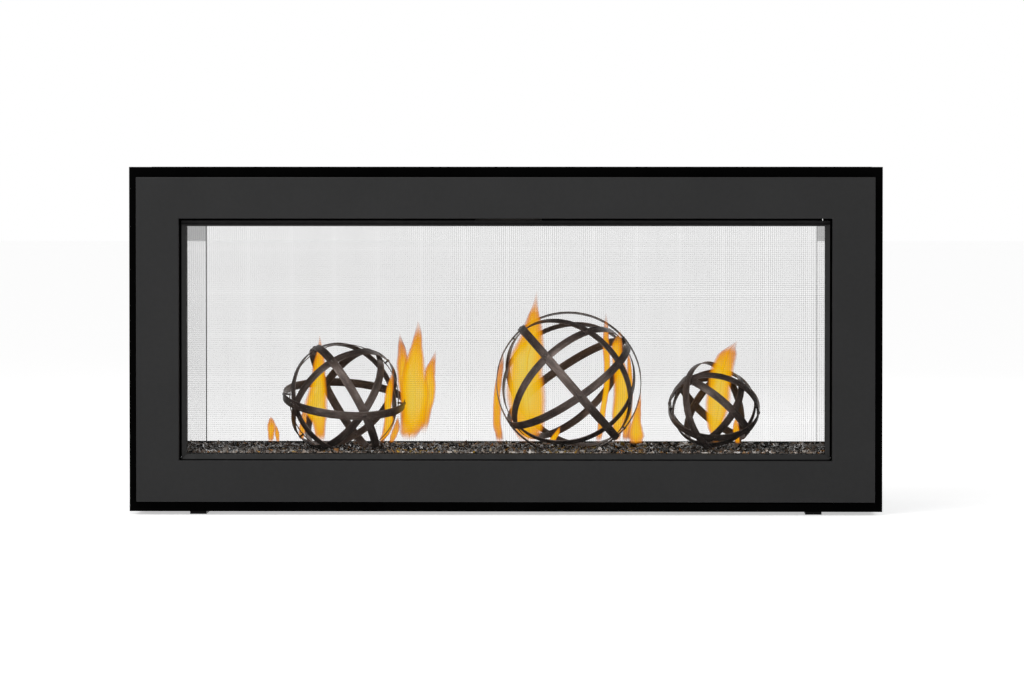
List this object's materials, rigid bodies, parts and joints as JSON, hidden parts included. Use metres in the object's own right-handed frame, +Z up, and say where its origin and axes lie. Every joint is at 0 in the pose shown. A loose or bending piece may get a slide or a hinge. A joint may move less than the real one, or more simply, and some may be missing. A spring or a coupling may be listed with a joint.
{
  "type": "double-sided gas fireplace",
  "caption": "Linear see-through gas fireplace with charcoal surrounds, tilting glass doors with mesh screens, a crushed-glass bed and iron strap globes.",
  "frame": {"origin": "under the middle of the casing, on the surface that the unit stands on", "axes": "+X to the right as seen from the front, +Y away from the viewer through the firebox, +Z up"},
  "size_m": [1.101, 0.4446, 0.508],
  "materials": {
    "galvanised_steel": "satin zinc sheet",
    "black_trim": "matt black paint",
    "charcoal_plate": "satin powder coat",
    "door_paint": "matt stove paint",
    "stove_paint": "matt stove paint",
    "porcelain": "polished black enamel",
    "clear_glass": "clear ceramic glass",
    "rope_seal": "woven glass rope",
    "screen_wire": "dark woven wire",
    "aged_iron": "brown aged strap",
    "crushed_glass": "crushed glass chips",
    "valve_brass": "satin brass",
    "dark_plastic": "matt knob",
    "white_ceramic": "glazed white sleeve"
  },
  "bodies": {
    "fireplace": {"casing_base": "galvanised_steel", "casing_left": "galvanised_steel", "casing_right": "galvanised_steel", "casing_top": "galvanised_steel", "firebox_floor": "stove_paint", "firebox_ceiling": "stove_paint", "firebox_left": "porcelain", "firebox_right": "porcelain", "media_tray": "stove_paint", "media_front": "crushed_glass", "media_rear": "crushed_glass", "burner_tube": "stove_paint", "pilot_hood": "galvanised_steel", "pilot_electrode": "white_ceramic", "gas_valve": "galvanised_steel", "shutoff_valve": "valve_brass", "supply_pipe": "galvanised_steel", "burner_pipe": "galvanised_steel", "exhaust_collar": "galvanised_steel", "intake_collar": "galvanised_steel", "front_rim": "black_trim", "front_hinge_rod": "galvanised_steel", "rear_rim": "black_trim", "rear_hinge_rod": "galvanised_steel", "left_globe_hoop_1": "aged_iron", "left_globe_hoop_2": "aged_iron", "left_globe_hoop_3": "aged_iron", "left_globe_hoop_4": "aged_iron", "left_globe_hoop_5": "aged_iron", "left_globe_hoop_6": "aged_iron", "middle_globe_hoop_1": "aged_iron", "middle_globe_hoop_2": "aged_iron", "middle_globe_hoop_3": "aged_iron", "middle_globe_hoop_4": "aged_iron", "middle_globe_hoop_5": "aged_iron", "middle_globe_hoop_6": "aged_iron", "right_globe_hoop_1": "aged_iron", "right_globe_hoop_2": "aged_iron", "right_globe_hoop_3": "aged_iron", "right_globe_hoop_4": "aged_iron", "right_globe_hoop_5": "aged_iron", "right_globe_hoop_6": "aged_iron"},
    "valve_knob": {"valve_knob": "dark_plastic"},
    "shutoff_lever": {"shutoff_lever": "galvanised_steel"},
    "air_shutter": {"air_shutter": "valve_brass"},
    "relief_flap": {"relief_flap": "galvanised_steel"},
    "front_plate": {"front_faceplate": "charcoal_plate"},
    "front_door": {"front_door_frame": "door_paint", "front_glass": "clear_glass", "front_gasket": "rope_seal", "front_screen": "screen_wire"},
    "front_latch_left": {"front_latch_left": "galvanised_steel"},
    "front_latch_right": {"front_latch_right": "galvanised_steel"},
    "rear_plate": {"rear_faceplate": "charcoal_plate"},
    "rear_door": {"rear_door_frame": "door_paint", "rear_glass": "clear_glass", "rear_gasket": "rope_seal", "rear_screen": "screen_wire"},
    "rear_latch_left": {"rear_latch_left": "galvanised_steel"},
    "rear_latch_right": {"rear_latch_right": "galvanised_steel"}
  },
  "joints": [
    {"name": "front_plate_lift", "type": "slide", "parent": "fireplace", "child": "front_plate", "axis": [0, -0.9397, 0.342], "range_m": [0, 0.03]},
    {"name": "front_door_tilt", "type": "hinge", "parent": "fireplace", "child": "front_door", "pos_m": [0, -0.202, 0.0829], "axis": [1, 0, 0], "range_deg": [0, 40]},
    {"name": "front_latch_left_turn", "type": "hinge", "parent": "fireplace", "child": "front_latch_left", "pos_m": [-0.3, -0.207, 0.4425], "axis": [0, 1, 0], "range_deg": [0, 90]},
    {"name": "front_latch_right_turn", "type": "hinge", "parent": "fireplace", "child": "front_latch_right", "pos_m": [0.3, -0.207, 0.4425], "axis": [0, 1, 0], "range_deg": [0, 90]},
    {"name": "rear_plate_lift", "type": "slide", "parent": "fireplace", "child": "rear_plate", "axis": [0, 0.9397, 0.342], "range_m": [0, 0.03]},
    {"name": "rear_door_tilt", "type": "hinge", "parent": "fireplace", "child": "rear_door", "pos_m": [0, 0.202, 0.0829], "axis": [-1, 0, 0], "range_deg": [0, 40]},
    {"name": "rear_latch_left_turn", "type": "hinge", "parent": "fireplace", "child": "rear_latch_left", "pos_m": [0.3, 0.207, 0.4425], "axis": [0, -1, 0], "range_deg": [0, 90]},
    {"name": "rear_latch_right_turn", "type": "hinge", "parent": "fireplace", "child": "rear_latch_right", "pos_m": [-0.3, 0.207, 0.4425], "axis": [0, -1, 0], "range_deg": [0, 90]},
    {"name": "valve_knob_turn", "type": "hinge", "parent": "fireplace", "child": "valve_knob", "pos_m": [0.28, -0.178, 0.032], "axis": [0, 1, 0], "range_deg": [0, 180]},
    {"name": "shutoff_lever_turn", "type": "hinge", "parent": "fireplace", "child": "shutoff_lever", "pos_m": [0.4, -0.14, 0.0449], "axis": [0, 0, -1], "range_deg": [0, 90]},
    {"name": "air_shutter_turn", "type": "hinge", "parent": "fireplace", "child": "air_shutter", "pos_m": [0.3, 0, 0.0433], "axis": [0, 0, 1], "range_deg": [0, 60]},
    {"name": "relief_flap_lift", "type": "hinge", "parent": "fireplace", "child": "relief_flap", "pos_m": [0.25, 0.045, 0.4238], "axis": [-1, 0, 0], "range_deg": [0, 20]}
  ]
}
